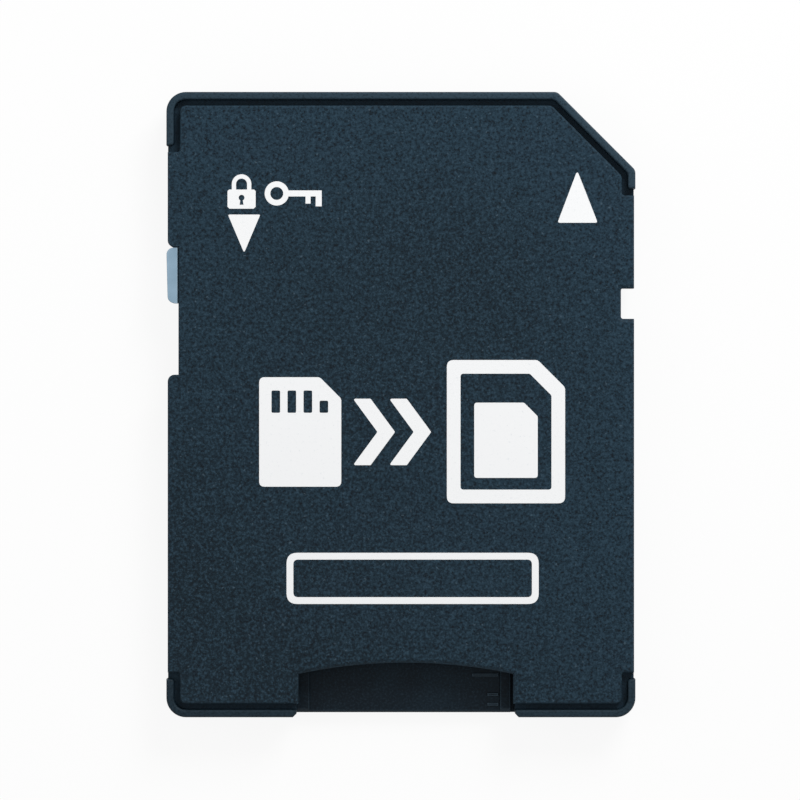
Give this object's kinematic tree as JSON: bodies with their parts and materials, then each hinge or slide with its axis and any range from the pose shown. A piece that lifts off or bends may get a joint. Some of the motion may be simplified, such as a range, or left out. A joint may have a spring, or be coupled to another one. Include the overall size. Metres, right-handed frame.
{
  "type": "memory card adapter",
  "caption": "Flat card-shaped adapter: a two-part plastic shell with a chamfered corner, a slot for a small memory card, spring contacts and a sliding write-protect tab.",
  "frame": {"origin": "middle of the contact side's face, at the centre of the card's outline", "axes": "+X across the card to the side with the chamfered corner, +Y to the leading (contact) end, +Z to the label side"},
  "size_m": [0.024, 0.032, 0.0021],
  "materials": {
    "shell_plastic": "blue-black moulded plastic, smoother on the rim and in the slot",
    "cover_plastic": "blue-black moulded plastic with a fine spark-eroded grain and white print",
    "slider_plastic": "pale blue-grey moulded plastic, satin",
    "carrier_plastic": "black glass-filled plastic",
    "contact_metal": "gold-plated spring bronze"
  },
  "bodies": {
    "shell": {"base_shell": "shell_plastic", "top_cover": "cover_plastic", "contact_carrier": "carrier_plastic", "contact_data_two": "contact_metal", "contact_data_three": "contact_metal", "contact_command": "contact_metal", "contact_supply": "contact_metal", "contact_clock": "contact_metal", "contact_ground": "contact_metal", "contact_data_zero": "contact_metal", "contact_data_one": "contact_metal"},
    "slider": {"lock_slider": "slider_plastic"}
  },
  "joints": [
    {"name": "lock_slide", "type": "slide", "parent": "shell", "child": "slider", "axis": [0, -1, 0], "range_m": [0, 0.0036]}
  ]
}
